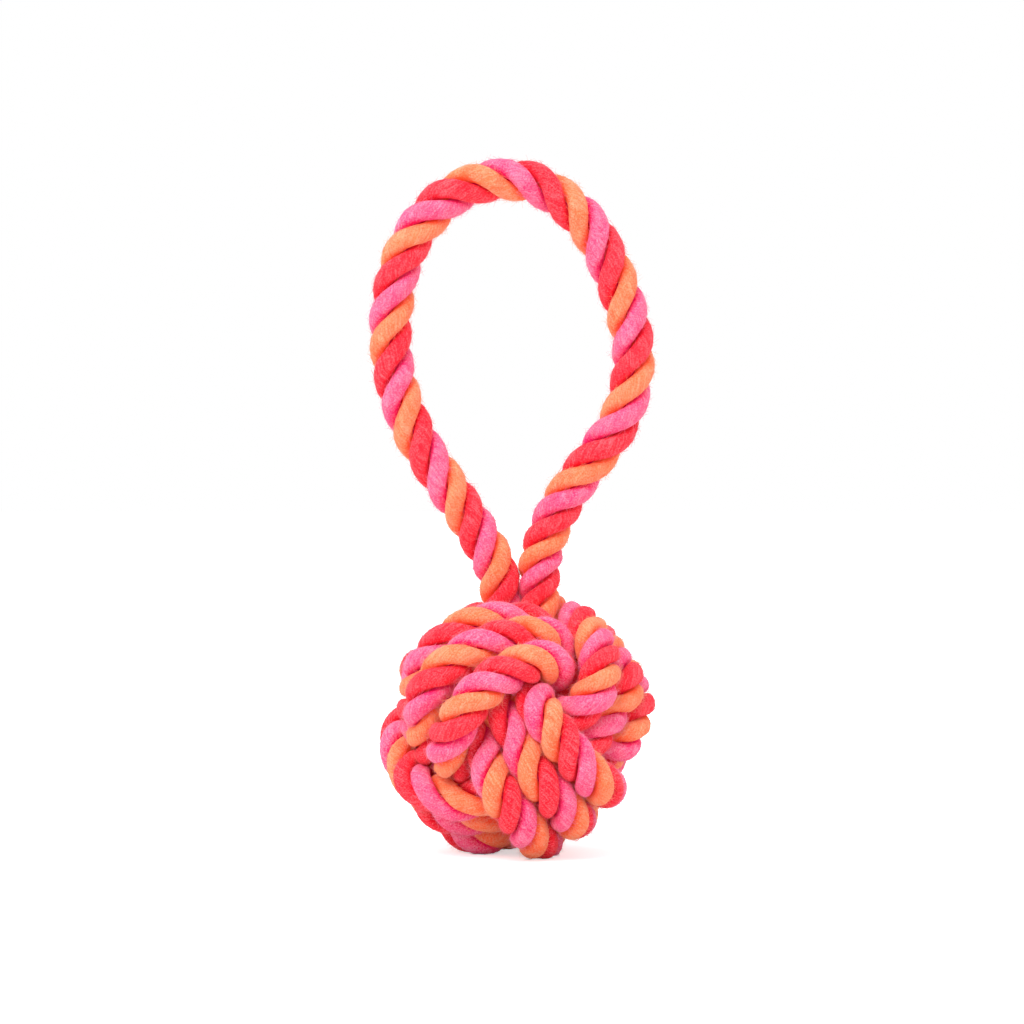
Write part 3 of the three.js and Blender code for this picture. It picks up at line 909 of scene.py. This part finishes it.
def make_dye_and_shade_group():
    group = new_group(
        "cotton dye with painted shade",
        [("Colour", "NodeSocketColor", (1, 1, 1, 1)), ("Deep Colour", "NodeSocketColor", (0.5, 0, 0, 1)),
         ("Pale Colour", "NodeSocketColor", (1, 1, 1, 1)), ("Streak", "NodeSocketFloat", 0.5),
         ("Bloom", "NodeSocketFloat", 0.5), ("Broad", "NodeSocketFloat", 0.5),
         ("Crease Shade", "NodeSocketFloat", 0.0)],
        [("Colour", "NodeSocketColor"), ("Glow", "NodeSocketColor"), ("Height", "NodeSocketFloat")])
    given = group.nodes.new("NodeGroupInput").outputs
    pale = maths(group, "ADD", maths(group, "MULTIPLY_ADD", given["Streak"], *PALE_BY_STREAK),
                 maths(group, "MULTIPLY_ADD", given["Bloom"], *PALE_BY_BLOOM))
    light = colour_mix(group, clamped(group, pale), given["Colour"], given["Pale Colour"])
    shade = maths(group, "ADD", maths(group, "MULTIPLY_ADD", given["Broad"], *DEEP_BY_BROAD),
                  maths(group, "MULTIPLY_ADD", given["Bloom"], *DEEP_BY_BLOOM))
    # Painted shade: the crease mask and random mottles darken the cotton towards its deep tone.
    deep = clamped(group, maths(group, "ADD", given["Crease Shade"], shade))
    dyed_and_shaded = colour_mix(group, deep, light, given["Deep Colour"])
    # A painted glow: the deep tone is given out as light in the creases, standing in for light bounced
    # between strands.
    painted_glow_share = maths(group, "MULTIPLY", given["Crease Shade"], CREASE_GLOW)
    glow = colour_mix(group, painted_glow_share, (0, 0, 0, 1), given["Deep Colour"])
    leave = group.nodes.new("NodeGroupOutput").inputs
    group.links.new(dyed_and_shaded, leave["Colour"])
    group.links.new(glow, leave["Glow"])
    height = maths(group, "MULTIPLY_ADD", given["Bloom"], BLOOM_HEIGHT, given["Streak"])
    group.links.new(height, leave["Height"])
    return group


laid_fibres = fibre_group()
brushed_bloom = bloom_group()
dye_and_painted_shade = make_dye_and_shade_group()

# %% [markdown]
# ## The three cottons
# Each colour needs three tones: the dye itself, the paler tone of fibres that catch the light, and the
# deep tone down in the creases, where light has bounced from strand to strand. The shader is rough,
# with a soft sheen for the fuzz that is too fine to model.

# %% The three cottons
COTTON = {
    "pink": ((255, 95, 137), (255, 156, 182), (230, 0, 98)),
    "red": ((252, 40, 58), (255, 112, 122), (222, 14, 42)),
    "orange": ((255, 127, 84), (255, 174, 140), (255, 94, 54)),
}
COTTON_FINISH = {
    "Roughness": 0.95,
    "Specular IOR Level": 0.15,
    "Subsurface Weight": 0.6,
    "Subsurface Radius": (1, 0.45, 0.4),
    "Subsurface Scale": 2.5 * MM,
    "Sheen Weight": 0.2,
    "Sheen Roughness": 0.5,
}
BUMP_HEIGHT = 0.32 * MM


def linear(colour):
    """A colour's screen values, 0 to 255, as the linear values that a shader takes."""
    return [((value / 255 + 0.055) / 1.055) ** 2.4 for value in colour] + [1]


def cotton_material(name, mapped):
    """The cotton of one colour. Stray fibres carry no map, so theirs has no streaks."""
    cotton = bpy.data.materials.new(("cotton_" if mapped else "stray_cotton_") + name)
    cotton.use_nodes = True
    tree = cotton.node_tree
    shader = tree.nodes["Principled BSDF"]
    colour, pale, deep = COTTON[name]
    bloom = put(tree, "Group", node_tree=brushed_bloom)
    dye_shade_node = put(tree, "Group", node_tree=dye_and_painted_shade)
    for socket, tone in (("Colour", colour), ("Pale Colour", pale), ("Deep Colour", deep)):
        dye_shade_node.inputs[socket].default_value = linear(tone)
    tree.links.new(bloom.outputs["Fine"], dye_shade_node.inputs["Bloom"])
    tree.links.new(bloom.outputs["Broad"], dye_shade_node.inputs["Broad"])
    if mapped:
        fibres = put(tree, "Group", node_tree=laid_fibres)
        # The mask of painted shade in the creases, which also sets where the painted glow is.
        crease_shade = put(tree, "Attribute", attribute_name="crease_shade")
        tree.links.new(fibres.outputs["Streak"], dye_shade_node.inputs["Streak"])
        tree.links.new(crease_shade.outputs["Fac"], dye_shade_node.inputs["Crease Shade"])
        # The painted glow goes into the shader as emission.
        tree.links.new(dye_shade_node.outputs["Glow"], shader.inputs["Emission Color"])
        shader.inputs["Emission Strength"].default_value = 1
        bump = put(tree, "Bump", {"Height": dye_shade_node.outputs["Height"], "Distance": BUMP_HEIGHT})
        tree.links.new(bump.outputs["Normal"], shader.inputs["Normal"])
    tree.links.new(dye_shade_node.outputs["Colour"], shader.inputs["Base Color"])
    for socket, value in COTTON_FINISH.items():
        shader.inputs[socket].default_value = value
    shader.inputs["Sheen Tint"].default_value = linear(pale)
    return cotton


for name in STRANDS:
    strands[name].data.materials.append(cotton_material(name, True))
    strays[name].data.materials.append(cotton_material(name, False))

# %% [markdown]
# ## The core's rubber
# Nothing of the core shows, but it is a real piece, so it has its own finish: plain grey-brown moulded
# rubber with a dull, faintly uneven surface.

# %% The core's rubber
RUBBER_TONES = ((150, 140, 132), (120, 112, 106))
RUBBER_BUMP = 0.05 * MM
rubber = bpy.data.materials.new("core_rubber")
rubber.use_nodes = True
rubber_tree = rubber.node_tree
rubber_shader = rubber_tree.nodes["Principled BSDF"]
rubber_bloom = put(
    rubber_tree, "Group", {"Fine Size": 0.8 * MM, "Broad Size": 9 * MM}, node_tree=brushed_bloom)
rubber_tone = colour_mix(
    rubber_tree, rubber_bloom.outputs["Broad"], linear(RUBBER_TONES[0]), linear(RUBBER_TONES[1]))
rubber_bump = put(rubber_tree, "Bump", {"Height": rubber_bloom.outputs["Fine"], "Distance": RUBBER_BUMP})
rubber_tree.links.new(rubber_tone, rubber_shader.inputs["Base Color"])
rubber_tree.links.new(rubber_bump.outputs["Normal"], rubber_shader.inputs["Normal"])
rubber_shader.inputs["Roughness"].default_value = 0.7
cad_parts["core_ball"].data.materials.clear()
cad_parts["core_ball"].data.materials.append(rubber)

# %% [markdown]
# ## Which parts the strands stand for
# The ball and the hand loop are two bodies that bend against each other where the legs leave the ball. The
# strands go on from one into the other. Each strand takes the place of some parts of the solid model, and
# these parts are hidden.

# %% Which parts the strands stand for
stands_for = {"pink": ("ball_winding",), "orange": ("neck_left", "neck_right"), "red": ("hand_loop",)}
for name in STRANDS:
    for piece in (strands[name], strays[name]):
        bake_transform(piece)
    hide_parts(*stands_for[name])

# %% [markdown]
# ## Floor and light
# The toy stands on white paper that is lit until it is pure white, so only the shadow close under the
# ball is left. The paper's extra glow is for the camera alone and puts no light on the toy. A dome of
# even light and one big soft lamp, in front and above, light the rope.

# %% Floor and light
FLOOR_REACH = 3
PAPER_WHITE = 0.86
GLOW = 0.58
DOME = 1.04
LAMP_WATTS = 21
LAMP_SIZE = 0.9
lamp_place = Vector((-0.5, -1.2, 1.3))

bm = bmesh.new()
bmesh.ops.create_grid(bm, x_segments=1, y_segments=1, size=FLOOR_REACH)
floor_mesh = bpy.data.meshes.new("floor")
bm.to_mesh(floor_mesh)
bm.free()
floor = bpy.data.objects.new("floor", floor_mesh)
bpy.context.scene.collection.objects.link(floor)

paper = bpy.data.materials.new("white_paper")
paper.use_nodes = True
paper_shader = paper.node_tree.nodes["Principled BSDF"]
paper_shader.inputs["Base Color"].default_value = (PAPER_WHITE, PAPER_WHITE, PAPER_WHITE, 1)
paper_shader.inputs["Roughness"].default_value = 0.9
paper_shader.inputs["Specular IOR Level"].default_value = 0
light_path = put(paper.node_tree, "LightPath")
glow = put(paper.node_tree, "Emission", {"Strength": GLOW})
clear = put(paper.node_tree, "Emission", {"Strength": 0.0})
seen = put(
    paper.node_tree, "MixShader",
    {0: light_path.outputs["Is Camera Ray"], 1: clear.outputs[0], 2: glow.outputs[0]})
both = put(paper.node_tree, "AddShader", {0: paper_shader.outputs[0], 1: seen.outputs[0]})
paper.node_tree.links.new(both.outputs[0], paper.node_tree.nodes["Material Output"].inputs["Surface"])
floor_mesh.materials.append(paper)

world = bpy.data.worlds.new("white_room")
world.use_nodes = True
bpy.context.scene.world = world
sky = world.node_tree
dome = sky.nodes["Background"]
dome.inputs["Color"].default_value = (1, 1, 1, 1)
dome.inputs["Strength"].default_value = DOME
white = put(sky, "Background", {"Color": (1, 1, 1, 1), "Strength": 1.0})
camera_ray = put(sky, "LightPath").outputs["Is Camera Ray"]
room = put(sky, "MixShader", {0: camera_ray, 1: dome.outputs[0], 2: white.outputs[0]})
sky.links.new(room.outputs[0], sky.nodes["World Output"].inputs["Surface"])

lamp_data = bpy.data.lights.new("soft_lamp", "AREA")
lamp_data.energy = LAMP_WATTS
lamp_data.size = LAMP_SIZE
lamp = bpy.data.objects.new("soft_lamp", lamp_data)
bpy.context.scene.collection.objects.link(lamp)
lamp.location = lamp_place
lamp.rotation_euler = (lamp_place - picture_middle).to_track_quat("Z", "Y").to_euler()
bpy.context.scene.view_settings.view_transform = "Standard"
